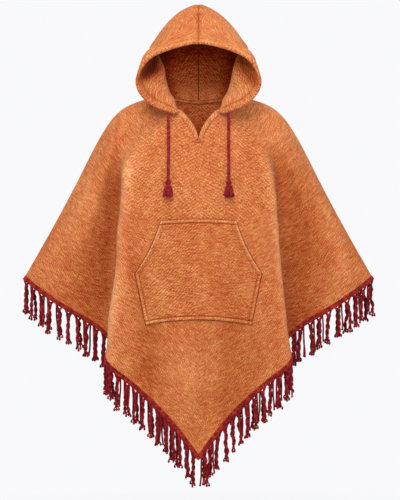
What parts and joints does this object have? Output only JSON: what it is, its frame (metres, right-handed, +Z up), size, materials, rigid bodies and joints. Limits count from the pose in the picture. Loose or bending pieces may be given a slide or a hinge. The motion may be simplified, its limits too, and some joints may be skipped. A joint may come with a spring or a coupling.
{
  "type": "hooded poncho",
  "caption": "Hooded poncho in its worn shape with no wearer: open hollow hood, pointed front and back, pouch pocket, drawcord and fringed hem.",
  "frame": {"origin": "middle of the neck at shoulder height, inside the neck opening, where the wearer carries the garment", "axes": "+Z up; the front faces -Y; +X is to the right as seen from the front"},
  "size_m": [0.9536, 0.3103, 1.3189],
  "materials": {
    "wool": "heathered orange woollen cloth, matt",
    "burgundy": "dark red cotton cord and yarn, matt",
    "trim": "red woven edge and fringe, matt"
  },
  "bodies": {
    "root": {"back": "wool", "drawcord_left": "burgundy", "drawcord_right": "burgundy", "front": "wool", "hood_left": "wool", "hood_right": "wool", "pocket": "wool", "slit_facing_left": "wool", "slit_facing_right": "wool", "tassel_left": "burgundy", "tassel_right": "burgundy", "trim_back_left": "trim", "trim_back_right": "trim", "trim_front_left": "trim", "trim_front_right": "trim"}
  },
  "joints": []
}
